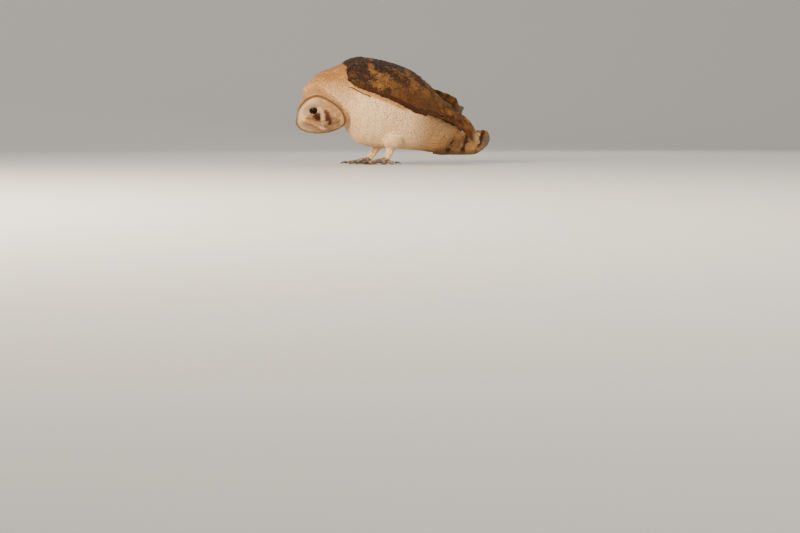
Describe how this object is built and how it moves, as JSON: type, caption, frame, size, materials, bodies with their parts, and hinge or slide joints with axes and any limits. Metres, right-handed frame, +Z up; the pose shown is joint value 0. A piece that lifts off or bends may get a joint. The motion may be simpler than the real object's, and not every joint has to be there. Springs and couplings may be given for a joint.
{
  "type": "barn owl",
  "caption": "Life-size still model of a barn owl standing on both feet, leaning forward with its head bent down and to its left.",
  "frame": {"origin": "middle of the bird's box, on the floor", "axes": "+X towards the tail, along the body; -Y the bird's left; +Z up"},
  "size_m": [0.3448, 0.1322, 0.1812],
  "materials": {
    "head_plumage": "soft matt feathers, cream face in a thin rusty ruff",
    "neck_plumage": "soft matt feathers, cream to buff with fine dark specks",
    "trunk_plumage": "soft matt feathers, white below, grey and golden above",
    "tail_feathers": "matt flat feathers, buff with dark bars",
    "wing_feathers": "matt feathers, tawny with grey veiling and dark bars",
    "leg_plumage": "short soft white feathers",
    "toe_skin": "scaly brown-grey skin",
    "eye": "wet, nearly black",
    "bill_horn": "smooth pinkish-white horn",
    "claw_horn": "smooth black horn"
  },
  "bodies": {
    "root": {"head": "head_plumage", "neck": "neck_plumage", "trunk": "trunk_plumage", "tail": "tail_feathers", "wing_left": "wing_feathers", "wing_right": "wing_feathers", "thigh_left": "leg_plumage", "thigh_right": "leg_plumage", "tarsus_left": "leg_plumage", "tarsus_right": "leg_plumage", "foot_left": "toe_skin", "foot_right": "toe_skin", "eye_left": "eye", "eye_right": "eye", "bill_upper": "bill_horn", "bill_lower": "bill_horn", "claw_left_inner": "claw_horn", "claw_left_middle": "claw_horn", "claw_left_outer": "claw_horn", "claw_left_rear": "claw_horn", "claw_right_inner": "claw_horn", "claw_right_middle": "claw_horn", "claw_right_outer": "claw_horn", "claw_right_rear": "claw_horn"}
  },
  "joints": []
}
